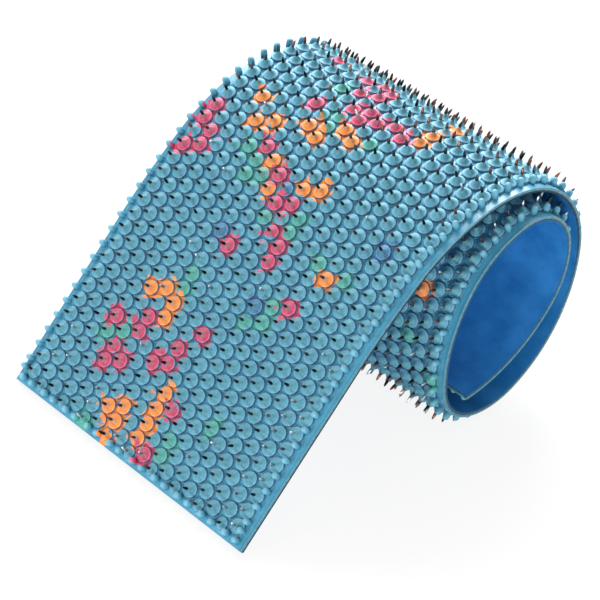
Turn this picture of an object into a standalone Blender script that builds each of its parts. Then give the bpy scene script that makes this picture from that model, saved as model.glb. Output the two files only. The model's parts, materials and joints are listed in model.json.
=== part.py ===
"""A needle massage mat, partly rolled up, at real size in metres with +Z up.

The mat is a long rubber sheet. Its face carries a field of moulded nubs with a metal needle in each,
its back is a smooth sheet bonded behind, and the needle heads lie between the two. One end rests on
the table as a straight ramp, and the rest is rolled up with the needles outwards. The rubber bends
anywhere along its length, so here it is cut across into strips that hinge on each other.

Places on the mat are given as (along, across, height): along the mat from its lower end, across it
from its near long edge, and above the face.
"""

import math

import bpy
import numpy as np
from mathutils import Vector
from mathutils.geometry import delaunay_2d_cdt

# The nub field
PITCH = 0.0058              # between nubs in a column, along the mat
COLUMN_STEP = 0.00575       # between columns, across the mat
COLUMNS = 19
NEAR_MARGIN = 0.0057        # near long edge to the first column
FAR_MARGIN = 0.0057         # last column to the far long edge
END_MARGIN = 0.0033         # either short edge to its first row
NUB_HEIGHT = 0.0026

# The layers, from the face down
FACE_THICK = 0.0009
BED_THICK = 0.0003
BACK_THICK = 0.0004
LAYER_GAP = 0.0001
SEAM_GAP = 0.0003

# A needle is a slim three sided spike that stands in a three sided bore
NEEDLE_RADIUS = 0.00045
NEEDLE_ABOVE_NUB = 0.0029
BORE_RADIUS = 0.0010

# Each strip of the mat: its length in pitches, and how far the rolled mat turns along it, in degrees
STRIPS = (
    (11, 0.0),
    (7, 9.0),
    (5, 22.5),
    (3, 21.75),
    (3, 26.5),
    (3, 28.25),
    (3, 27.0),
    (5, 32.0),
    (5, 36.0),
    (4, 43.0),
    (4, 60.5),
    (7, 40.5),
    (5, 45.5),
    (3, 52.0),
    (3, 48.5),
    (4, 44.0),
    (7, 47.0),
)

# The roll is wound a little askew: each metre past the second strip moves the mat this far sideways
SKEW = 0.0226

WIDTH = NEAR_MARGIN + (COLUMNS - 1) * COLUMN_STEP + FAR_MARGIN
BED_TOP = -FACE_THICK - LAYER_GAP
BED_BOTTOM = BED_TOP - BED_THICK
BACK_TOP = BED_BOTTOM - LAYER_GAP
BACK_BOTTOM = BACK_TOP - BACK_THICK
NEEDLE_TOP = NUB_HEIGHT + NEEDLE_ABOVE_NUB

# Nubs stand in rows half a pitch apart. Odd columns have one in the first row, even columns in the
# second, and so on in turn. A seam lies midway between an even row and an odd one.
FIRST_SEAM_STEP = END_MARGIN + 0.75 * PITCH


def seam_places():
    """Where each strip starts and ends along the mat."""
    places = [0.0]
    pitches = 0
    for length, _ in STRIPS[:-1]:
        pitches += length
        places.append(FIRST_SEAM_STEP + (pitches - 1) * PITCH)
    pitches += STRIPS[-1][0]
    places.append(2 * END_MARGIN + pitches * PITCH)
    return places


SEAMS = seam_places()
LENGTH = SEAMS[-1]
SKEW_START = SEAMS[2]


def fold_places():
    """The places where the faceted section turns: every pitch, the seams among them."""
    count = round((SEAMS[-2] - SEAMS[1]) / PITCH)
    middle = [SEAMS[1] + i * PITCH for i in range(count + 1)]
    before = [SEAMS[1] - i * PITCH for i in range(STRIPS[0][0] - 1, 0, -1)]
    after = [SEAMS[-2] + i * PITCH for i in range(1, STRIPS[-1][0] + 1)]
    return np.array([0.0] + before + middle + after + [LENGTH])


def turned_by(along):
    """How far the mat has turned at this place, in radians."""
    turns = np.concatenate([[0.0], np.cumsum([turn for _, turn in STRIPS])])
    return np.radians(np.interp(along, SEAMS, turns))


def arc_points(along):
    """The face's section as (x, z) at these places, each stretch between two being a true arc."""
    places = np.asarray(along)
    angle = turned_by(places)
    step = np.diff(places)
    turn = np.diff(angle)
    chord = step * np.sinc(turn / (2 * math.pi))
    heading = -(angle[:-1] + angle[1:]) / 2
    x = np.concatenate([[0.0], np.cumsum(chord * np.cos(heading))])
    z = np.concatenate([[0.0], np.cumsum(chord * np.sin(heading))])
    return np.column_stack([x, z])


class Section:
    """The folded section of the mat, tilted so that it stands level."""

    def __init__(self):
        self.folds = fold_places()
        self.points = arc_points(self.folds)
        self.mitres = self._mitres()
        self._stand_level()

    def _mitres(self):
        """At each fold, the step that one unit of height takes, square to both facets beside it."""
        runs = np.diff(self.points, axis=0)
        runs /= np.linalg.norm(runs, axis=1)[:, None]
        normals = np.column_stack([-runs[:, 1], runs[:, 0]])
        first = np.vstack([normals[:1], normals])
        second = np.vstack([normals, normals[-1:]])
        both = first + second
        return both * 2 / np.sum(both * both, axis=1)[:, None]

    def at(self, along, height):
        """The (x, z) of places on the mat."""
        columns = []
        for axis in range(2):
            base = np.interp(along, self.folds, self.points[:, axis])
            lift = np.interp(along, self.folds, self.mitres[:, axis])
            columns.append(base + lift * height)
        return np.column_stack(columns)

    def _stand_level(self):
        """Turn the section so that its lower end and the roll's lowest needle stand on one level."""
        foot = self.at(np.array([0.0]), np.array([BACK_BOTTOM]))[0]
        rows = np.array(sorted({along for along, _ in needle_places()}))
        tips = self.at(rows, np.full(len(rows), NEEDLE_TOP)) - foot
        rolled = tips[rows > SKEW_START]
        tilt = -np.min(np.arctan2(rolled[:, 1], rolled[:, 0]))
        turn = np.array([[math.cos(tilt), math.sin(tilt)], [-math.sin(tilt), math.cos(tilt)]])
        self.points = (self.points - foot) @ turn
        self.mitres = self.mitres @ turn


def nub_places():
    """Every nub's (along, across)."""
    rows = round((LENGTH - 2 * END_MARGIN) / PITCH)
    places = []
    for column in range(COLUMNS):
        across = NEAR_MARGIN + column * COLUMN_STEP
        odd = column % 2
        first = END_MARGIN if odd else END_MARGIN + PITCH / 2
        for row in range(rows + odd):
            places.append((first + row * PITCH, across))
    return places


def needle_places():
    """The nubs that have a modelled needle: two in every five of the odd columns."""
    places = []
    for along, across in nub_places():
        column = round((across - NEAR_MARGIN) / COLUMN_STEP)
        row = round((along - END_MARGIN) / PITCH)
        if column % 2 and (2 * row + column // 2) % 5 < 2:
            places.append((along, across))
    return places


def cell_corners(along, across):
    """The six corners, at the foot of the slopes, of one nub's share of the face."""
    half = PITCH / 2
    lean = half * half / (2 * COLUMN_STEP)
    wide = COLUMN_STEP / 2 + lean
    narrow = COLUMN_STEP / 2 - lean
    return [
        (along, across - wide),
        (along, across + wide),
        (along - half, across - narrow),
        (along - half, across + narrow),
        (along + half, across - narrow),
        (along + half, across + narrow),
    ]


def triangle(along, across, radius):
    """The corners of a three sided bore or spike."""
    corners = []
    for i in range(3):
        angle = 2 * math.pi * i / 3
        corners.append((along + radius * math.cos(angle), across + radius * math.sin(angle)))
    return corners


def inside(point, corners):
    """Whether a point lies in a triangle."""
    signs = []
    for i in range(3):
        a = Vector(corners[i])
        b = Vector(corners[(i + 1) % 3])
        signs.append((b - a).cross(point - a) > 0)
    return all(signs) or not any(signs)


def plane_mesh(outline, bores=(), loose=(), lines=()):
    """Triangles that fill an outline, along lines between its points and through loose points, less
    the bores. Returns the places, the faces, and each given point's index, the outline's first."""
    points = list(outline)
    edges = [(i, (i + 1) % len(outline)) for i in range(len(outline))] + list(lines)
    for corners in bores:
        start = len(points)
        points += corners
        edges += [(start, start + 1), (start + 1, start + 2), (start + 2, start)]
    points += loose
    scaled = [Vector(p) / PITCH for p in points]
    found = delaunay_2d_cdt(scaled, edges, [], 1, 1e-6, True)
    index = {}
    places = []
    for i, sources in enumerate(found[3]):
        places.append(points[sources[0]])
        index.update({source: i for source in sources})
    faces = []
    for face in found[2]:
        centre = sum((Vector(places[i]) for i in face), Vector((0, 0))) / len(face)
        if not any(inside(centre, corners) for corners in bores):
            faces.append(tuple(face))
    return places, faces, [index[i] for i in range(len(points))]


class Shell:
    """A closed solid between an upper and a lower sheet with the same outline and bores."""

    def __init__(self, section):
        self.section = section
        self.points = []
        self.faces = []

    def add(self, places, heights):
        """Places on the mat to points in space. Returns the first one's index."""
        start = len(self.points)
        along = np.array([p[0] for p in places])
        across = np.array([p[1] for p in places])
        spots = self.section.at(along, np.asarray(heights))
        shift = SKEW * np.clip(along - SKEW_START, 0, None)
        for (x, z), y in zip(spots, across - shift):
            self.points.append((x, y, z))
        return start

    def sheet(self, places, faces, heights, up):
        """One sheet, facing up or down."""
        start = self.add(places, heights)
        for face in faces:
            corners = [start + i for i in face]
            a, b, c = (Vector(places[i]) for i in face)
            if ((b - a).cross(c - a) > 0) != up:
                corners.reverse()
            self.faces.append(tuple(corners))
        return start

    def wall(self, upper, lower):
        """The wall down from a ring of upper points to the same ring of lower ones."""
        for i in range(len(upper)):
            j = (i + 1) % len(upper)
            self.faces.append((upper[i], lower[i], lower[j], upper[j]))

    def object(self, name, material, collection, pivot):
        """The Blender object, with its origin on its hinge."""
        mesh = bpy.data.meshes.new(name)
        local = [Vector(p) - pivot for p in self.points]
        mesh.from_pydata(local, [], self.faces)
        mesh.materials.append(material)
        made = bpy.data.objects.new(name, mesh)
        collection.objects.link(made)
        return made


def strip_limits(index):
    """A strip's ends, each held half a seam gap off the seam."""
    start = SEAMS[index] + (SEAM_GAP / 2 if index > 0 else 0.0)
    end = SEAMS[index + 1] - (SEAM_GAP / 2 if index + 1 < len(STRIPS) else 0.0)
    return start, end


def strip_outline(index, folds, ends=()):
    """The outline of a strip, with a point at each fold and, on its short ends, at each given place,
    and the pairs of its points that the folds join."""
    start, end = strip_limits(index)
    inner = [f for f in folds if start + PITCH / 10 < f < end - PITCH / 10]
    near = [(a, 0.0) for a in [start] + inner + [end]]
    far = [(a, WIDTH) for a in [end] + inner[::-1] + [start]]
    rising = [(end, b) for b in ends]
    falling = [(start, b) for b in reversed(ends)]
    last = len(near) + len(rising) + len(inner)
    lines = [(i + 1, last - i) for i in range(len(inner))]
    return near + rising + far + falling, lines


def face_strip(section, index):
    """The nubbed rubber of one strip, bored for its needles."""
    start, end = strip_limits(index)
    between = [NEAR_MARGIN + (i - 0.5) * COLUMN_STEP for i in range(COLUMNS + 1)]
    outline, lines = strip_outline(index, section.folds, between)
    bored = [p for p in needle_places() if start < p[0] < end]
    bores = [triangle(*p, BORE_RADIUS) for p in bored]
    tops = [p for p in nub_places() if start < p[0] < end and p not in bored]
    feet = {}
    for nub in tops + bored:
        for corner in cell_corners(*nub):
            if start + PITCH / 10 < corner[0] < end - PITCH / 10:
                feet[(round(corner[0], 6), round(corner[1], 6))] = corner

    shell = Shell(section)
    places, faces, index_of = plane_mesh(outline, bores, tops + list(feet.values()))
    raised = index_of[len(outline):len(outline) + 3 * len(bores) + len(tops)]
    heights = np.zeros(len(places))
    heights[raised] = NUB_HEIGHT
    top = shell.sheet(places, faces, heights, True)
    under, under_faces, under_index = plane_mesh(outline, bores, (), lines)
    bottom = shell.sheet(under, under_faces, np.full(len(under), -FACE_THICK), False)
    rings = [range(len(outline))]
    for i in range(len(bores)):
        first = len(outline) + 3 * i
        rings.append((first + 2, first + 1, first))
    for ring in rings:
        shell.wall([top + index_of[i] for i in ring], [bottom + under_index[i] for i in ring])
    return shell


def plain_slice(shell, outline, lines, roots, upper, lower):
    """A slice between two heights, open on top at the roots. Returns the indices of its upper points."""
    places, faces, index_of = plane_mesh(outline, roots, (), lines)
    top = shell.sheet(places, faces, np.full(len(places), upper), True)
    under, under_faces, under_index = plane_mesh(outline, (), (), lines)
    bottom = shell.sheet(under, under_faces, np.full(len(under), lower), False)
    ring = range(len(outline))
    shell.wall([top + index_of[i] for i in ring], [bottom + under_index[i] for i in ring])
    return [top + i for i in index_of]


def needle_bed(section, index):
    """The slice between the sheets that holds the needles of one strip, with its needles."""
    start, end = strip_limits(index)
    outline, lines = strip_outline(index, section.folds)
    stood = [p for p in needle_places() if start < p[0] < end]
    roots = [triangle(*p, NEEDLE_RADIUS) for p in stood]
    shell = Shell(section)
    upper = plain_slice(shell, outline, lines, roots, BED_TOP, BED_BOTTOM)
    tips = shell.add(stood, np.full(len(stood), NEEDLE_TOP))
    for i in range(len(stood)):
        first = len(outline) + 3 * i
        for j in range(3):
            side = (upper[first + j], upper[first + (j + 1) % 3], tips + i)
            shell.faces.append(side)
    return shell


def back_strip(section, index):
    """The smooth rubber behind one strip."""
    outline, lines = strip_outline(index, section.folds)
    shell = Shell(section)
    plain_slice(shell, outline, lines, (), BACK_TOP, BACK_BOTTOM)
    return shell


def material(name, colour, roughness, metallic):
    """A plain Principled material."""
    made = bpy.data.materials.new(name)
    made.use_nodes = True
    shader = made.node_tree.nodes["Principled BSDF"]
    shader.inputs["Base Color"].default_value = (*colour, 1.0)
    shader.inputs["Roughness"].default_value = roughness
    shader.inputs["Metallic"].default_value = metallic
    return made


def placed_shells(section):
    """The three solids of every strip, moved so that the mat stands on the origin's level, centred."""
    rows = []
    for index in range(len(STRIPS)):
        rows.append((face_strip(section, index), needle_bed(section, index), back_strip(section, index)))
    every = np.array([p for row in rows for shell in row for p in shell.points])
    low = every.min(axis=0)
    high = every.max(axis=0)
    shift = np.array([(low[0] + high[0]) / 2, (low[1] + high[1]) / 2, low[2]])
    for row in rows:
        for shell in row:
            shell.points = [tuple(np.array(p) - shift) for p in shell.points]
    return rows, shift


def hinge_points(section, shift):
    """Where each strip hinges on the one before it: on the face, at the seam. The first has none."""
    spots = section.at(np.array(SEAMS[:-1]), np.zeros(len(STRIPS)))
    points = []
    for x, z in spots:
        points.append(Vector((x - shift[0], 0.0, z - shift[2])))
    return points


def build():
    for old in list(bpy.data.objects):
        bpy.data.objects.remove(old)
    collection = bpy.data.collections.new("needle_mat")
    bpy.context.scene.collection.children.link(collection)
    face_rubber = material("face_rubber", (0.11, 0.38, 0.55), 0.55, 0.0)
    needle_steel = material("needle_steel", (0.35, 0.31, 0.29), 0.35, 1.0)
    back_rubber = material("back_rubber", (0.02, 0.14, 0.46), 0.5, 0.0)
    section = Section()
    rows, shift = placed_shells(section)
    pivots = hinge_points(section, shift)
    kinds = (("face_strip", face_rubber), ("needle_bed", needle_steel), ("back_strip", back_rubber))
    parent = None
    for index, row in enumerate(rows):
        hinge = bpy.data.objects.new(f"hinge_{index + 1:02d}", None)
        collection.objects.link(hinge)
        hinge.parent = parent
        hinge.location = pivots[index] - (pivots[index - 1] if index else Vector())
        for (kind, finish), shell in zip(kinds, row):
            made = shell.object(f"{kind}_{index + 1:02d}", finish, collection, pivots[index])
            made.parent = hinge
        parent = hinge
    bpy.context.view_layer.update()


build()
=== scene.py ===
"""The looks of a needle massage mat, partly rolled up with its needles outwards.

The mat is one rubber sheet with a field of moulded nubs, each with a needle in it. The CAD cuts it
across into strips that hinge on each other. Here each piece runs from the middle of one strip to the
middle of the next and is built curved across the hinge between the two.

Places on the mat are (along, across, height): along it from its lower end, across it from its near
long edge, and above the face. A fourth number, the ring, goes with each point. On a nub it is how far
out from the middle the point lies, in pitches. On a needle it is how far up. On a level stretch it is
1 where the surface looks the way the face does, and -1 where it looks the other way.
"""

import json
import math

import bpy
import numpy as np
from mathutils import Euler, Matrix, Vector


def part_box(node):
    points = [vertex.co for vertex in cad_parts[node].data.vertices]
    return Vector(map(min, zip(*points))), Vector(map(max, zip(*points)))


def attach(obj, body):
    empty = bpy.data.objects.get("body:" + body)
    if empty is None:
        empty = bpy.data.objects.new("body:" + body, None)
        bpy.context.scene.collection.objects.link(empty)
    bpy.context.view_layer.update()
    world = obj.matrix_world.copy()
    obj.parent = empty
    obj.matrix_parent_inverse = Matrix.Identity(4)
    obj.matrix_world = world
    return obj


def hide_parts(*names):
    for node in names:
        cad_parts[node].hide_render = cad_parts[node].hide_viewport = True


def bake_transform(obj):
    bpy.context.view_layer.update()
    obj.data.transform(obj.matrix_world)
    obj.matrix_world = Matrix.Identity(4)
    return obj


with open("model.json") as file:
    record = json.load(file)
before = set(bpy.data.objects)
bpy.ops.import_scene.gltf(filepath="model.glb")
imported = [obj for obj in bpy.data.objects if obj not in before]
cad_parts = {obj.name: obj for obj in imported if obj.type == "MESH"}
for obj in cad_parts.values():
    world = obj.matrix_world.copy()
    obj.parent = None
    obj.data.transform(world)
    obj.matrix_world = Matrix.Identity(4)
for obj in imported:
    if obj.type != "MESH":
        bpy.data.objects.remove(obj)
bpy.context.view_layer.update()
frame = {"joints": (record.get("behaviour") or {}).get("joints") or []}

# The nub field and the layers, as in the CAD
PITCH = 0.0058
COLUMN_STEP = 0.00575
COLUMNS = 19
NEAR_MARGIN = 0.0057
FAR_MARGIN = 0.0057
END_MARGIN = 0.0033
FACE_THICK = 0.00095
BOND_THICK = 0.0003
BACK_THICK = 0.00055
NEEDLE_TIP = 0.00545

# Each strip from the lower end up: its length in pitches and how far it turns, in degrees
STRIPS = (
    (11, 0.0),
    (7, 9.0),
    (5, 22.5),
    (3, 21.75),
    (3, 26.5),
    (3, 28.25),
    (3, 27.0),
    (5, 32.0),
    (5, 36.0),
    (4, 43.0),
    (4, 60.5),
    (7, 40.5),
    (5, 45.5),
    (3, 52.0),
    (3, 48.5),
    (4, 44.0),
    (7, 47.0),
)

# How far sideways the roll runs for each metre along
SKEW = 0.0226

# A nub from its foot up, as (radius, height) in pitches: a rimmed disc with a flared cone on it
NUB = ((0.48, 0.0), (0.455, 0.165), (0.385, 0.165), (0.26, 0.265), (0.15, 0.39), (0.055, 0.51))
NUB_SIDES = 12

# The nubs nearest to either end are smaller than the rest, and set a little further in
END_NUB_SIZE = 0.8
END_NUB_SHIFT = 0.1

# A blind peg on the margins likewise, and the rings of a nub that it is coloured as. These give its
# top the painted highlight of a nub's lip.
PEG = ((0.21, -0.04), (0.2, 0.32), (0.165, 0.45), (0.08, 0.52))
PEG_SIDES = 10
PEG_RINGS = np.array([0.3, 0.35, 0.4, 0.43])

# A needle, as (share of its radius, share of its height). Its root is in pitches above the face, the
# least tall is a share of the tallest, and the lean is the usual one each way, in metres a metre.
NEEDLE = np.array([(1.0, 0.0), (0.95, 0.5), (0.65, 0.82), (0.15, 1.0)])
NEEDLE_RADIUS = 0.00055
NEEDLE_ROOT = 0.3
NEEDLE_SIDES = 6
NEEDLE_LEAN = 0.09
NEEDLE_LEAST = 0.94

# Which share of the needles is bright silver, and which copper, at some rows along the mat. The near
# columns have more silver on the first rows of the ramp.
SILVER_ROWS = (0, 5, 9, 20, 34, 46, 60)
SILVER_SHARES = (0.2, 0.06, 0.03, 0.03, 0.06, 0.14, 0.22)
COPPER_ROWS = (0, 14, 20, 30, 46, 60)
COPPER_SHARES = (0.0, 0.0, 0.15, 0.33, 0.38, 0.36)
BRIGHT_COLUMNS = 1.5
BRIGHT_ROWS = 12
BRIGHT_SHARE = 0.6
SEED = 11

# The blind pegs: how far in they are from each edge, how far each one of a pair is from its column in
# column steps, and how far along the first two on a long margin are
NEAR_PEGS = 0.0034
FAR_PEGS = 0.0014
END_PEGS = 0.0023
PEG_PAIR = 0.42
CORNER_PEG = 0.0058
SIDE_PEG_START = 0.0092

# How far in from each end of a piece the two end points are placed on the mat
STIFF_END = 0.3 * PITCH

# How much the sheets' edges are eased, and how many points there are across a plain layer
EDGE_ROUND = 0.00012
LAYER_POINTS = 7

# Splashes of coloured rubber: the nubs that they lie on, as (column from the far edge, row)
SPLASHES = {
    "pink": (
        (0, 19), (0, 18), (0, 16), (1, 17), (1, 18), (5, 19), (7, 18), (8, 16), (9, 17), (9, 15),
        (10, 14), (10, 13), (7, 13), (13, 12), (3, 6), (5, 6), (5, 7), (9, 8), (4, 4), (4, 3), (5, 4),
        (8, 6), (7, 5), (8, 5), (10, 3), (10, 0), (5, 23), (6, 25), (7, 24), (8, 24), (7, 26), (8, 23),
        (9, 24), (10, 24), (11, 24), (6, 27), (7, 27), (5, 27), (2, 27),
    ),
    "orange": (
        (2, 21), (3, 20), (4, 20), (7, 21), (9, 22), (6, 18), (7, 17), (9, 18), (10, 18), (12, 24),
        (12, 25), (12, 27), (4, 8), (5, 9), (6, 8), (6, 7), (14, 14), (6, 1), (7, 1), (7, 2), (9, 4),
        (9, 3), (9, 2), (7, 0), (9, 1), (16, 58), (6, 21), (8, 22),
    ),
    "green": (
        (4, 18), (5, 18), (5, 17), (6, 17), (8, 15), (10, 16), (10, 15), (13, 15), (6, 10), (6, 9),
        (12, 11), (11, 10), (12, 10), (4, 5), (3, 5), (5, 0), (13, 4), (11, 2), (11, 1), (7, 22),
        (7, 23), (10, 22), (5, 25), (15, 15), (16, 55), (18, 53),
    ),
    "navy": ((6, 13), (11, 11), (8, 17), (16, 17)),
}
SPLASH_REACH = 0.69

# How far the ramp runs before it bends, and where it has bent: the back's edge has painted shade up to
# there
RAMP_END = 0.2
BEND_START = 0.23

# The camera
CAMERA_PLACE = (-0.51197, -0.50479, 0.57310)
CAMERA_TURN = (53.0705, -2.7889, -43.0968)
LENS = 159.05
SENSOR = 36.0

# The studio: (place, size in metres, watts) of each lamp, and the point that they face
LAMPS = {
    "key": ((-1.2, 0.3, 0.2), 0.2, 5.2),
    "sheen": ((0.5, 0.6, 0.7), 0.8, 32.0),
    "fill": ((-0.75, -1.0, 0.1), 0.25, 12.0),
}
LAMP_AIM = (0.0, 0.0, 0.04)
SKY_STRENGTH = 0.65
FLOOR_CORNERS = ((-1, -1), (1, -1), (1, 1), (-1, 1))
FLOOR_REACH = 4.0
FLOOR_DROP = 0.0001
FLOOR_WHITE = 0.88

WIDTH = NEAR_MARGIN + (COLUMNS - 1) * COLUMN_STEP + FAR_MARGIN
BOND_TOP = -FACE_THICK
BACK_TOP = BOND_TOP - BOND_THICK
BACK_BOTTOM = BACK_TOP - BACK_THICK
LENGTHS = np.array([length for length, _ in STRIPS])
FIRST_SEAM = END_MARGIN + (LENGTHS[0] - 0.25) * PITCH
SEAMS = np.concatenate([[0.0], FIRST_SEAM + PITCH * np.concatenate([[0], np.cumsum(LENGTHS[1:-1])])])
LENGTH = 2 * END_MARGIN + LENGTHS.sum() * PITCH
SEAMS = np.append(SEAMS, LENGTH)
MIDDLES = SEAMS[1:] - LENGTHS * PITCH / 2
MIDDLES[-1] = SEAMS[-2] + LENGTHS[-1] * PITCH / 2
CUTS = np.concatenate([[0.0], MIDDLES, [LENGTH]])
ROWS = int(LENGTHS.sum())


class Mat:
    """The face line of the rolled mat, as complex numbers x + iz. It is turned and shifted so that
    the strips meet at the frame's hinges."""

    def __init__(self):
        self.turns = np.radians([turn for _, turn in STRIPS])
        self.lengths = np.diff(SEAMS)
        self.headings = -np.concatenate([[0.0], np.cumsum(self.turns)])
        chords = self.lengths * np.sinc(self.turns / (2 * math.pi))
        steps = chords * np.exp(1j * (self.headings[:-1] - self.turns / 2))
        self.starts = np.concatenate([[0.0], np.cumsum(steps)])
        joints = sorted(frame["joints"], key=lambda joint: joint["name"])
        pivots = np.array([complex(j["pos_m"][0], j["pos_m"][2]) for j in joints])
        inner = self.starts[1:-1]
        turn = np.vdot(inner - inner.mean(), pivots - pivots.mean())
        self.turn = turn / abs(turn)
        self.shift = pivots.mean() - self.turn * inner.mean()
        self.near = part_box("face_strip_01")[0].y

    def place(self, spots):
        """Points in space. In each strip the mat is an arc: a place on it is the strip's start plus a
        chord, the run times sinc of half the turn, that heads half the turn down. The height is laid
        off square to the arc, and the roll is a little askew."""
        along, across, height = spots[..., 0], spots[..., 1], spots[..., 2]
        strip = np.clip(np.searchsorted(SEAMS, along, side="right") - 1, 0, len(STRIPS) - 1)
        run = along - SEAMS[strip]
        turned = self.turns[strip] * run / self.lengths[strip]
        chord = run * np.sinc(turned / (2 * math.pi))
        line = self.starts[strip] + chord * np.exp(1j * (self.headings[strip] - turned / 2))
        square = 1j * np.exp(1j * (self.headings[strip] - turned))
        spot = (line + square * height) * self.turn + self.shift
        sideways = self.near + across - SKEW * np.clip(along - SEAMS[2], 0, None)
        return np.stack([spot.real, sideways, spot.imag], axis=-1)

    def square(self, along):
        """The direction square to the face."""
        heading = np.interp(along, SEAMS, self.headings)
        normal = 1j * np.exp(1j * heading) * self.turn
        return np.stack([normal.real, np.zeros(len(along)), normal.imag], axis=-1)


def quads(grid, closed=False):
    """The quads between neighbouring rows and columns of a grid of point numbers."""
    left = grid if closed else grid[..., :-1]
    right = np.roll(grid, -1, axis=-1) if closed else grid[..., 1:]
    corners = [left[..., :-1, :], right[..., :-1, :], right[..., 1:, :], left[..., 1:, :]]
    return np.stack(corners, axis=-1)


class Shell:
    """Points on the mat and the faces between them."""

    def __init__(self):
        self.spots = np.zeros((0, 4))
        self.faces = []

    def add(self, spots):
        """Adds an array of points and returns their numbers in the same shape."""
        numbers = len(self.spots) + np.arange(spots[..., 0].size).reshape(spots.shape[:-1])
        self.spots = np.concatenate([self.spots, spots.reshape(-1, 4)])
        return numbers

    def fill(self, corners, smooth=True):
        self.faces.append((corners.reshape(-1, corners.shape[-1]), smooth))

    def merge(self):
        """Points at one place become one point."""
        keys = np.round(self.spots[:, :3] / 1e-6).astype(np.int64)
        _, first, same = np.unique(keys, axis=0, return_index=True, return_inverse=True)
        self.spots = self.spots[first]
        same = same.reshape(-1)
        self.faces = [(same[corners], smooth) for corners, smooth in self.faces]

    def rim(self):
        """The edges that only one face has, each in that face's direction."""
        ends = [np.stack([c, np.roll(c, -1, axis=1)], axis=-1).reshape(-1, 2) for c, _ in self.faces]
        edges = np.concatenate(ends)
        there = edges[:, 0] * len(self.spots) + edges[:, 1]
        back = edges[:, 1] * len(self.spots) + edges[:, 0]
        return edges[~np.isin(back, there)]

    def tube(self, grid, smooth=True):
        """Rings of points, from the lowest ring to the highest, joined and capped."""
        numbers = self.add(grid)
        self.fill(quads(numbers, closed=True), smooth)
        self.fill(numbers[..., 0, ::-1], smooth)
        self.fill(numbers[..., -1, :], smooth)


def circles(centres, profile, sides, sizes=1.0):
    """Rings round each centre: the centre plus radius times (cos, sin), at the profile's heights,
    both times that centre's size."""
    angles = 2 * math.pi * np.arange(sides) / sides
    radius, height = np.array(profile).T * PITCH
    sizes = np.broadcast_to(sizes, len(centres))[:, None, None]
    spots = np.zeros((len(centres), len(profile), sides, 4))
    spots[..., 0] = centres[:, 0, None, None] + sizes * radius[:, None] * np.cos(angles)
    spots[..., 1] = centres[:, 1, None, None] + sizes * radius[:, None] * np.sin(angles)
    spots[..., 2] = sizes * height[:, None]
    spots[..., 3] = radius[:, None] / PITCH
    return spots


def nub_places():
    """Every nub's (along, across). Columns take turns to start on the first row or half a pitch on."""
    places = []
    for column in range(COLUMNS):
        odd = column % 2
        along = END_MARGIN + PITCH * (np.arange(ROWS + odd) + (0 if odd else 0.5))
        places.append(np.stack([along, np.full(len(along), NEAR_MARGIN + column * COLUMN_STEP)], -1))
    return np.concatenate(places)


def peg_places():
    """The blind pegs: one a pitch on both long margins, one more near each corner, and pairs on the
    short margins, before the columns that start half a pitch on."""
    along = SIDE_PEG_START + PITCH * np.arange(ROWS - 2)
    along = np.concatenate([[CORNER_PEG], along, [LENGTH - CORNER_PEG]])
    near = np.stack([along, np.full(len(along), NEAR_PEGS)], -1)
    far = np.stack([along, np.full(len(along), WIDTH - FAR_PEGS)], -1)
    columns = NEAR_MARGIN + COLUMN_STEP * np.arange(0, COLUMNS, 2)
    pairs = (columns[:, None] + COLUMN_STEP * PEG_PAIR * np.array([-1, 1])).reshape(-1)
    lower = np.stack([np.full(len(pairs), END_PEGS), pairs], -1)
    upper = np.stack([np.full(len(pairs), LENGTH - END_PEGS), pairs], -1)
    return np.concatenate([near, far, lower, upper])


CELLS = nub_places()
PEGS = peg_places()

# Which nubs are the small ones: 1 at the lower end, -1 at the upper end and 0 for the rest
END_NUBS = (CELLS[:, 0] < END_MARGIN + PITCH / 4).astype(int)
END_NUBS -= CELLS[:, 0] > LENGTH - END_MARGIN - PITCH / 4
NUBS = CELLS + np.stack([END_NUBS * END_NUB_SHIFT * PITCH, np.zeros(len(CELLS))], axis=-1)
SIZES = np.where(END_NUBS == 0, 1.0, END_NUB_SIZE)

# Where one nub's share of the ground ends, counter-clockwise from the side further along
CELL = np.array([
    (1, 0), (1, 1), (0.5, 1), (0, 1), (-0.5, 1), (-1, 1),
    (-1, 0), (-1, -1), (-0.5, -1), (0, -1), (0.5, -1), (1, -1),
]) / 2 * (PITCH, COLUMN_STEP)


def patch(alongs, acrosses, height):
    """A grid of open ground, a little lower where it meets the mat's edges. A ring of just under 1
    there leaves the shading round."""
    spots = np.zeros((len(alongs), len(acrosses), 4))
    spots[..., 0] = np.array(alongs)[:, None]
    spots[..., 1] = np.array(acrosses)
    spots[..., 2] = height
    spots[..., 3] = 1.0
    edge = (spots[..., 0] <= 0) | (spots[..., 0] >= LENGTH) | (spots[..., 1] <= 0)
    edge |= spots[..., 1] >= WIDTH
    spots[edge, 3] = 0.99
    if height >= 0:
        spots[edge, 2] -= EDGE_ROUND
    return spots


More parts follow.
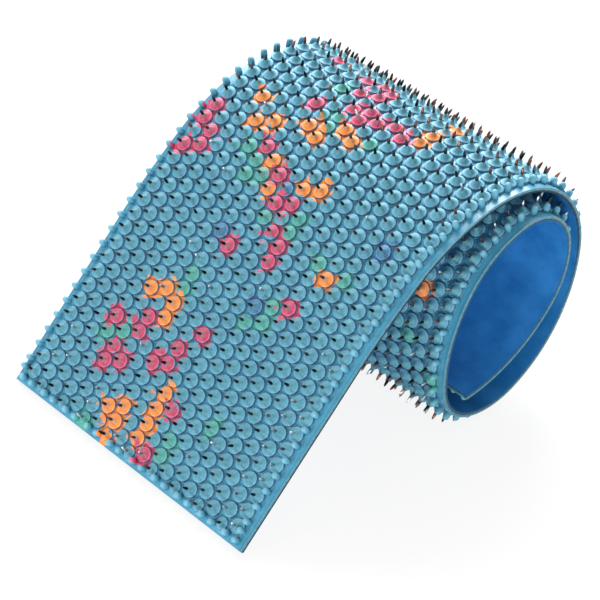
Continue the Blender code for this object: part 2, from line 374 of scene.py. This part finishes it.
def open_ground(low, high):
    """The grids, as (alongs, acrosses), of the ground outside the nubs' cells between two cuts."""
    first = round((low - END_MARGIN) / PITCH) if low > 0 else 0
    last = round((high - END_MARGIN) / PITCH) if high < LENGTH else ROWS
    middle = END_MARGIN + PITCH / 4 * np.arange(4 * first, 4 * last + 1)
    rim = np.array([0.0, EDGE_ROUND, END_MARGIN - PITCH / 2, END_MARGIN - PITCH / 4])
    alongs = middle
    if low <= 0:
        alongs = np.concatenate([rim, alongs])
    if high >= LENGTH:
        alongs = np.concatenate([alongs, LENGTH - rim[::-1]])
    near = np.concatenate([[0.0], np.linspace(EDGE_ROUND, NEAR_MARGIN - COLUMN_STEP / 2, 5)])
    far = WIDTH - np.linspace(FAR_MARGIN - COLUMN_STEP / 2, EDGE_ROUND, 3)
    grids = [(alongs, near), (alongs, np.append(far, WIDTH))]
    for column in range(COLUMNS):
        across = NEAR_MARGIN + COLUMN_STEP * (column + np.array([-0.5, 0, 0.5]))
        end = rim[:3] if column % 2 else np.append(rim, END_MARGIN)
        if low <= 0:
            grids.append((end, across))
        if high >= LENGTH:
            grids.append((LENGTH - end[::-1], across))
    return grids


def between(low, high):
    """Which nubs' cells have their middles between two cuts."""
    return (CELLS[:, 0] >= low) & (CELLS[:, 0] < high)


def face_shell(low, high):
    """The nubbed sheet between two cuts. Each nub's cell runs from its share of the ground in to the
    foot and up the rings of its profile. The walls go straight down from the open edges."""
    shell = Shell()
    here = between(low, high)
    border = np.zeros((here.sum(), 1, NUB_SIDES, 4))
    border[:, 0, :, :2] = CELLS[here][:, None, :] + CELL
    border[..., 3] = 1.0
    nubs = circles(NUBS[here], NUB, NUB_SIDES, SIZES[here])
    rings = shell.add(np.concatenate([border, nubs], axis=1))
    shell.fill(quads(rings, closed=True))
    shell.fill(rings[:, -1, :])
    ground = open_ground(low, high)
    for alongs, acrosses in ground:
        shell.fill(quads(shell.add(patch(alongs, acrosses, 0.0))[:, ::-1]))
    shell.merge()
    edges = shell.rim()
    lower = shell.spots[edges]
    lower[..., 2] = -FACE_THICK
    under = shell.add(lower)
    shell.fill(np.stack([edges[:, 0], under[:, 0], under[:, 1], edges[:, 1]], axis=-1), False)
    border[..., 2] = -FACE_THICK
    shell.fill(shell.add(border)[:, 0, ::-1], False)
    for alongs, acrosses in ground:
        shell.fill(quads(shell.add(patch(alongs, acrosses, -FACE_THICK))), False)
    shell.merge()
    pegs = PEGS[(PEGS[:, 0] >= low) & (PEGS[:, 0] < high)]
    if len(pegs):
        tubes = circles(pegs, PEG, PEG_SIDES)
        tubes[..., 3] = PEG_RINGS[:, None]
        shell.tube(tubes)
    return shell


def slab_shell(low, high, top, bottom, inset, rounding):
    """A plain layer between two cuts: its section, with its lower corners rounded, carried along."""
    start = low if low > 0 else inset
    end = high if high < LENGTH else LENGTH - inset
    count = max(2, round((end - start) / PITCH * 4) + 1)
    wide = np.linspace(inset + rounding, WIDTH - inset - rounding, LAYER_POINTS)
    section = [(inset, bottom + rounding, 0)]
    section += [(across, bottom, -1) for across in wide]
    section += [(WIDTH - inset, bottom + rounding, 0), (WIDTH - inset, top, 0)]
    section += [(across, top, 1) for across in wide[::-1]]
    section += [(inset, top, 0)]
    spots = np.zeros((count, len(section), 4))
    spots[..., 0] = np.linspace(start, end, count)[:, None]
    spots[..., 1:] = section
    shell = Shell()
    numbers = shell.add(spots)
    sides = quads(numbers, closed=True)
    level = np.zeros(len(section), bool)
    level[1:len(wide)] = True
    level[len(wide) + 3:len(section) - 2] = True
    shell.fill(sides[:, level], True)
    shell.fill(sides[:, ~level], False)
    shell.fill(numbers[:1, ::-1], False)
    shell.fill(numbers[-1:], False)
    return shell


def needle_kinds(nubs, chance):
    """Which metal each needle is: 0 dark steel, 1 copper, 2 bright silver."""
    rows = nubs[:, 0] / PITCH
    columns = (nubs[:, 1] - NEAR_MARGIN) / COLUMN_STEP
    silver = np.interp(rows, SILVER_ROWS, SILVER_SHARES)
    silver = np.where((columns < BRIGHT_COLUMNS) & (rows < BRIGHT_ROWS), BRIGHT_SHARE, silver)
    copper = np.interp(rows, COPPER_ROWS, COPPER_SHARES)
    return np.where(chance < silver, 2, np.where(chance < silver + copper, 1, 0))


RANDOM = np.random.default_rng(SEED)
KINDS = needle_kinds(NUBS, RANDOM.random(len(NUBS)))
LEANS = RANDOM.normal(0.0, NEEDLE_LEAN, (len(NUBS), 2))
REACHES = RANDOM.uniform(NEEDLE_LEAST, 1.0, len(NUBS))


def needle_shell(chosen):
    """Slim spikes: rings that narrow from the root to the tip and lean over with their height."""
    tall = REACHES[chosen] * NEEDLE_TIP / PITCH
    spots = circles(NUBS[chosen], NEEDLE, NEEDLE_SIDES)
    height = NEEDLE_ROOT + (tall[:, None] - NEEDLE_ROOT) * NEEDLE[:, 1]
    spots[..., :2] -= NUBS[chosen][:, None, None, :]
    spots[..., :2] *= NEEDLE_RADIUS / PITCH
    spots[..., :2] += NUBS[chosen][:, None, None, :]
    lean = LEANS[chosen][:, None, None, :] * (height - NEEDLE_ROOT)[..., None, None] * PITCH
    spots[..., :2] += lean
    spots[..., 2] = height[..., None] * PITCH
    spots[..., 3] = NEEDLE[:, 1, None]
    shell = Shell()
    shell.tube(spots)
    return shell


def splash_depth(spots, name):
    """How deep each point lies in the splashes of one colour: the reach less the distance to the
    nearest one, in pitches."""
    address = np.array(SPLASHES[name], float)
    column = COLUMNS - 1 - address[:, 0]
    along = END_MARGIN + PITCH * (address[:, 1] + np.where(column % 2 == 1, 0.0, 0.5))
    across = NEAR_MARGIN + COLUMN_STEP * column
    away = np.hypot(spots[:, None, 0] - along, spots[:, None, 1] - across) / PITCH
    return SPLASH_REACH - away.min(axis=1)


MAT = Mat()


def made(name, shell, finish, fields=()):
    """The shell as an object, with its places along and across the mat in its UV map. Level stretches
    are shaded square to the mat, so that two pieces meet without a line."""
    count = sum(corners.size for corners, _ in shell.faces)
    sizes = np.concatenate([np.full(len(c), c.shape[1]) for c, _ in shell.faces])
    smooth = np.concatenate([np.full(len(c), flag) for c, flag in shell.faces])
    corners = np.concatenate([c.reshape(-1) for c, _ in shell.faces]).astype(np.int32)
    mesh = bpy.data.meshes.new(name)
    mesh.vertices.add(len(shell.spots))
    mesh.vertices.foreach_set("co", MAT.place(shell.spots).astype(np.float32).reshape(-1))
    mesh.loops.add(count)
    mesh.loops.foreach_set("vertex_index", corners)
    mesh.polygons.add(len(sizes))
    mesh.polygons.foreach_set("loop_start", np.append(0, np.cumsum(sizes)[:-1]).astype(np.int32))
    mesh.polygons.foreach_set("use_smooth", smooth)
    mesh.update(calc_edges=True)
    layer = mesh.uv_layers.new(name="mat")
    layer.data.foreach_set("uv", shell.spots[corners, :2].astype(np.float32).reshape(-1))
    values = {"ring": shell.spots[:, 3]}
    for field in fields:
        values[field] = splash_depth(shell.spots, field)
    for field, numbers in values.items():
        attribute = mesh.attributes.new(field, "FLOAT", "POINT")
        attribute.data.foreach_set("value", numbers.astype(np.float32))
    mesh.polygons.foreach_set("material_index", np.where(smooth, 0, 1).astype(np.int32))
    for material in finish:
        mesh.materials.append(material)
    level = np.where(np.abs(shell.spots[:, 3]) == 1, shell.spots[:, 3], 0)
    normals = MAT.square(shell.spots[:, 0]) * level[:, None]
    mesh.normals_split_custom_set((normals[corners] * np.repeat(smooth, sizes)[:, None]).tolist())
    piece = bpy.data.objects.new(name, mesh)
    bpy.context.scene.collection.objects.link(piece)
    return piece


class Wire:
    """An output in a node tree. Arithmetic on it adds Math nodes."""

    def __init__(self, nodes, socket):
        self.nodes = nodes
        self.socket = socket

    def math(self, operation, *values):
        sockets = dict(enumerate(values))
        return self.nodes.node("ShaderNodeMath", {"operation": operation}, sockets)

    def __add__(self, other):
        return self.math("ADD", self, other)

    def __sub__(self, other):
        return self.math("SUBTRACT", self, other)

    def __mul__(self, other):
        return self.math("MULTIPLY", self, other)

    def __radd__(self, other):
        return self.math("ADD", other, self)

    def __rsub__(self, other):
        return self.math("SUBTRACT", other, self)

    def cosine(self):
        return self.math("COSINE", self)

    def step(self, low, high):
        """0 below low, 1 above high and smooth between them."""
        settings = {"interpolation_type": "SMOOTHSTEP"}
        return self.nodes.node("ShaderNodeMapRange", settings, {0: self, 1: low, 2: high})

    def beside(self, output):
        """Another output of the same node."""
        return Wire(self.nodes, self.socket.node.outputs[output])


class Nodes:
    """The node tree of a material or of the world."""

    def __init__(self, tree):
        self.tree = tree

    def feed(self, socket, value):
        if isinstance(value, Wire):
            self.tree.links.new(value.socket, socket)
        elif isinstance(value, tuple) and len(value) == 3 and socket.type == "RGBA":
            socket.default_value = (*value, 1.0)
        else:
            socket.default_value = value

    def node(self, kind, settings=None, sockets=None, output=0):
        """Any node: its settings are set first, then its sockets' values or wires."""
        node = self.tree.nodes.new(kind)
        for key, value in (settings or {}).items():
            setattr(node, key, value)
        for key, value in (sockets or {}).items():
            self.feed(node.inputs[key], value)
        return Wire(self, node.outputs[output])

    def show(self, plain, bright, share, out):
        """Gives an output a share of the bright shader for rays from the camera, in reflections and
        through glass. All other rays, and so the light on the mat, get the plain one alone."""
        camera_ray = self.node("ShaderNodeLightPath", output="Is Camera Ray")
        glossy_ray = camera_ray.beside("Is Glossy Ray")
        clear_ray = camera_ray.beside("Is Transmission Ray")
        seen = camera_ray.math("MAXIMUM", camera_ray.math("MAXIMUM", camera_ray, glossy_ray), clear_ray)
        mixed = self.node("ShaderNodeMixShader", {}, {0: seen * share, 1: plain, 2: bright})
        self.feed(out.inputs["Surface"], mixed)


class Finish(Nodes):
    """A material on Blender's Principled shader."""

    def __init__(self, name, roughness, metallic=0.0, **constants):
        self.material = bpy.data.materials.new(name)
        self.material.use_nodes = True
        super().__init__(self.material.node_tree)
        self.shader = self.tree.nodes["Principled BSDF"]
        self.set("Roughness", roughness)
        self.set("Metallic", metallic)
        for socket, value in constants.items():
            self.set(socket.replace("_", " "), value)

    def set(self, socket, value):
        self.feed(self.shader.inputs[socket], value)

    def field(self, name):
        """A number that the mesh carries at its points."""
        return self.node("ShaderNodeAttribute", {"attribute_name": name}, output=2)

    def place(self):
        """(along, across) on the mat, in metres."""
        return self.node("ShaderNodeUVMap", {"uv_map": "mat"})

    def edge_distance(self):
        """How far in from the nearer long edge, in metres."""
        across = self.node("ShaderNodeSeparateXYZ", {}, {0: self.place()}, output=1)
        return across.math("MINIMUM", across, WIDTH - across)

    def noise(self, size, detail=2.0, shift=0.0):
        """A soft random pattern whose patches are about this many metres across."""
        moved = self.node("ShaderNodeMapping", {}, {0: self.place(), 1: (shift, shift, shift)})
        sockets = {"Vector": moved, "Scale": 1 / size, "Detail": detail}
        return self.node("ShaderNodeTexNoise", {}, sockets)

    def mix(self, share, first, second):
        """From the first colour to the second by a share."""
        sockets = {0: share, 6: first, 7: second}
        return self.node("ShaderNodeMix", {"data_type": "RGBA"}, sockets, output=2)

    def bump(self, height, strength, distance):
        sockets = {"Height": height, "Strength": strength, "Distance": distance}
        self.set("Normal", self.node("ShaderNodeBump", {}, sockets))


def face_rubber():
    """Teal rubber: duller and greener on the nubs than on the glossy ground between them, with a fine
    grain and the splashes over all. Painted highlight pales the nubs' lips, and painted shade darkens
    their feet, their middles round the needles and a thin line along each long edge."""
    finish = Finish("face_rubber", 0.42, Specular_IOR_Level=0.27, Coat_Roughness=0.3)
    ring = finish.field("ring")
    ground = ring.step(0.46, 0.5)
    mottle = finish.noise(0.009).step(0.3, 0.7)
    grain = finish.noise(0.0006, 3.0)
    nub = finish.mix(mottle, (0.058, 0.235, 0.33), (0.078, 0.285, 0.39))
    flat = finish.mix(mottle, (0.033, 0.215, 0.34), (0.045, 0.26, 0.4))
    colour = finish.mix(ground, nub, flat)
    ragged = (finish.noise(0.0032, 2.0, 0.3) - 0.5) * 1.7
    tones = {
        "green": (0.65, (0.05, 0.34, 0.21)),
        "navy": (0.7, (0.02, 0.1, 0.26)),
        "orange": (1.0, (0.85, 0.23, 0.01)),
        "pink": (0.95, (0.55, 0.02, 0.09)),
    }
    for name, (share, tone) in tones.items():
        depth = finish.field(name) + ragged
        colour = finish.mix(depth.step(0.0, 0.1) * share, colour, tone)
    # Painted highlight: the lips of the nubs are made paler
    lip_highlight = ring.step(0.36, 0.43) * (1 - ring.step(0.455, 0.459))
    colour = finish.mix(lip_highlight * 0.18, colour, (0.4, 0.65, 0.85))
    # Painted shade: each nub's foot wall and the ground just round it are darkened
    foot = ring.step(0.455, 0.461) * (1 - ring.step(0.48, 0.5))
    colour = finish.mix(foot * 0.85, colour, (0.0, 0.04, 0.1))
    # Painted shade round the needle in each nub's middle
    pit_shade = 1 - ring.step(0.16, 0.33)
    colour = finish.mix(pit_shade * 0.5, colour, (0.05, 0.15, 0.16))
    # Painted shade: a thin dark line along each long edge of the face
    border = finish.edge_distance()
    groove_shade = border.step(0.0002, 0.0003) * (1 - border.step(0.0009, 0.0011))
    colour = finish.mix(groove_shade * 0.3, colour, (0.01, 0.05, 0.08))
    colour = finish.mix(grain.step(0.35, 0.75) * 0.08, colour, (0.6, 0.8, 0.85))
    finish.set("Base Color", colour)
    finish.set("Roughness", 0.48 - ground * 0.16 + grain * 0.12)
    finish.set("Coat Weight", ring.step(0.49, 0.52) * 0.3)
    finish.bump(grain + finish.noise(0.0018) * 0.8, 0.3, 0.0002)
    return finish.material


def cut_edge(name, dark, light, ramp_shade=0.0):
    """The trimmed side of a sheet, with a faint streak, and painted shade along the ramp by a share."""
    finish = Finish(name, 0.6, Specular_IOR_Level=0.2)
    grain = finish.noise(0.0015, 3.0)
    along = finish.node("ShaderNodeSeparateXYZ", {}, {0: finish.place()})
    colour = finish.mix(grain.step(0.3, 0.7), dark, light)
    # Painted shade along the ramp's stretch, fading out where it bends
    ramp = 1 - along.step(RAMP_END, BEND_START)
    colour = finish.mix(ramp * ramp_shade, colour, (0.003, 0.012, 0.02))
    finish.set("Base Color", colour)
    return finish.material


def back_rubber():
    """Smooth deep blue rubber with a faint dimple behind each nub, darkened by painted shade, and a
    fine satin grain.
    """
    finish = Finish("back_rubber", 0.45, Specular_IOR_Level=0.35)
    along = finish.node("ShaderNodeSeparateXYZ", {}, {0: finish.place()})
    across = along.beside(1)
    rows = ((along - END_MARGIN) * (2 * math.pi / PITCH)).cosine()
    columns = ((across - NEAR_MARGIN) * (math.pi / COLUMN_STEP)).cosine()
    dimple = (rows * columns * -1).step(0.45, 1.0)
    mottle = finish.noise(0.012, 3.0)
    grain = finish.noise(0.0007, 2.0)
    colour = finish.mix(mottle.step(0.3, 0.75), (0.01, 0.135, 0.38), (0.028, 0.21, 0.52))
    # Painted shade: each dimple is darkened
    colour = finish.mix(dimple * 0.12, colour, (0.006, 0.08, 0.3))
    colour = finish.mix(grain.step(0.55, 0.8) * 0.12, colour, (0.15, 0.4, 0.8))
    finish.set("Base Color", colour)
    finish.set("Roughness", 0.42 + grain * 0.12)
    finish.bump(grain * 0.3 - dimple * 0.6, 0.2, 0.0003)
    return finish.material


def bond_rubber():
    """The dark line of the glued needle bed between the two sheets."""
    finish = Finish("bond_rubber", 0.7)
    grain = finish.noise(0.0008, 3.0)
    finish.set("Base Color", finish.mix(grain, (0.008, 0.03, 0.045), (0.03, 0.08, 0.11)))
    return finish.material


def needle_metal(name, dark, light, roughness):
    """Drawn wire: a tone of its own for each needle, darker towards the root."""
    finish = Finish(name, roughness, 1.0)
    height = finish.field("ring")
    tone = finish.noise(0.004, 1.0)
    colour = finish.mix(tone.step(0.35, 0.65), dark, light)
    deep = tuple(part * 0.3 for part in dark)
    colour = finish.mix((1 - height.step(0.0, 0.7)) * 0.6, colour, deep)
    finish.set("Base Color", colour)
    finish.set("Roughness", roughness + finish.noise(0.0005) * 0.15)
    return finish.material


def build_mat():
    """Every piece of the mat. The one at each end rides on its strip; the rest are left unattached."""
    face = (face_rubber(), cut_edge("face_edge", (0.05, 0.14, 0.18), (0.1, 0.22, 0.26)))
    # The back's cut edge takes painted shade along the ramp
    back = (back_rubber(), cut_edge("back_edge", (0.01, 0.06, 0.12), (0.02, 0.09, 0.17), 0.75))
    bond = (bond_rubber(),) * 2
    metals = (
        ("steel", needle_metal("needle_steel", (0.006, 0.014, 0.018), (0.08, 0.09, 0.1), 0.35)),
        ("copper", needle_metal("needle_copper", (0.07, 0.032, 0.028), (0.27, 0.12, 0.09), 0.32)),
        ("silver", needle_metal("needle_silver", (0.25, 0.3, 0.32), (0.75, 0.78, 0.78), 0.25)),
    )
    last = len(STRIPS)
    for index in range(last + 1):
        low, high = CUTS[index], CUTS[index + 1]
        top = face_shell(low, high)
        middle = slab_shell(low, high, BOND_TOP, BACK_TOP, EDGE_ROUND, 0.0)
        under = slab_shell(low, high, BACK_TOP, BACK_BOTTOM, 0.0, EDGE_ROUND)
        pieces = [
            (made(f"face_{index:02d}", top, face, SPLASHES), "face_strip"),
            (made(f"bond_{index:02d}", middle, bond), None),
            (made(f"back_{index:02d}", under, back), "back_strip"),
        ]
        here = between(low, high)
        for kind, (metal, finish) in enumerate(metals):
            chosen = here & (KINDS == kind)
            if chosen.any():
                name = f"needles_{metal}_{index:02d}"
                needles = made(name, needle_shell(chosen), (finish,))
                pieces.append((needles, "needle_bed"))
        strips = [number for number in (index, index + 1) if 1 <= number <= last]
        for piece, stands_for in pieces:
            if stands_for:
                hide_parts(*[f"{stands_for}_{number:02d}" for number in strips])
            if len(strips) == 1:
                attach(piece, f"strip_{strips[0]:02d}")
                continue
            ends = np.zeros((2, 4))
            ends[:, 0] = (low + STIFF_END, high - STIFF_END)
            start, end = MAT.place(ends)
            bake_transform(piece)


def camera():
    """The camera, where the photograph was taken from."""
    lens = bpy.data.cameras.new("camera")
    lens.lens = LENS
    lens.sensor_width = SENSOR
    lens.sensor_fit = "HORIZONTAL"
    eye = bpy.data.objects.new("camera", lens)
    eye.location = CAMERA_PLACE
    eye.rotation_euler = Euler([math.radians(angle) for angle in CAMERA_TURN])
    bpy.context.scene.collection.objects.link(eye)
    bpy.context.scene.camera = eye


def lights():
    """Square soft lamps: a low key from the left, a broad sheen light behind the crest and a fill from
    the near side."""
    for name, (place, size, power) in LAMPS.items():
        light = bpy.data.lights.new(name, "AREA")
        light.size = size
        light.energy = power
        holder = bpy.data.objects.new(name, light)
        holder.location = place
        towards = Vector(LAMP_AIM) - Vector(place)
        holder.rotation_euler = towards.to_track_quat("-Z", "Y").to_euler()
        bpy.context.scene.collection.objects.link(holder)


def sky():
    """A soft white sky, plain white to the camera and in reflections."""
    world = bpy.data.worlds.new("studio")
    world.use_nodes = True
    bpy.context.scene.world = world
    nodes = Nodes(world.node_tree)
    soft, white = [
        nodes.node("ShaderNodeBackground", {}, {"Color": (1, 1, 1), "Strength": strength})
        for strength in (SKY_STRENGTH, 1.0)
    ]
    nodes.show(soft, white, 1.0, world.node_tree.nodes["World Output"])


def floor():
    """A pale paper floor, nearly white to the camera but for the mat's faint shadow."""
    mesh = bpy.data.meshes.new("floor")
    corners = [(x * FLOOR_REACH, y * FLOOR_REACH, -FLOOR_DROP) for x, y in FLOOR_CORNERS]
    mesh.from_pydata(corners, [], [(0, 1, 2, 3)])
    sheet = bpy.data.objects.new("floor", mesh)
    bpy.context.scene.collection.objects.link(sheet)
    finish = Finish("floor_paper", 0.8, Specular_IOR_Level=0.0)
    finish.set("Base Color", (0.9, 0.9, 0.9))
    white = finish.node("ShaderNodeEmission", {}, {"Color": (1, 1, 1)})
    paper = Wire(finish, finish.shader.outputs[0])
    finish.show(paper, white, FLOOR_WHITE, finish.tree.nodes["Material Output"])
    mesh.materials.append(finish.material)


camera()
build_mat()
sky()
floor()
lights()
bpy.context.scene.view_settings.view_transform = "Standard"
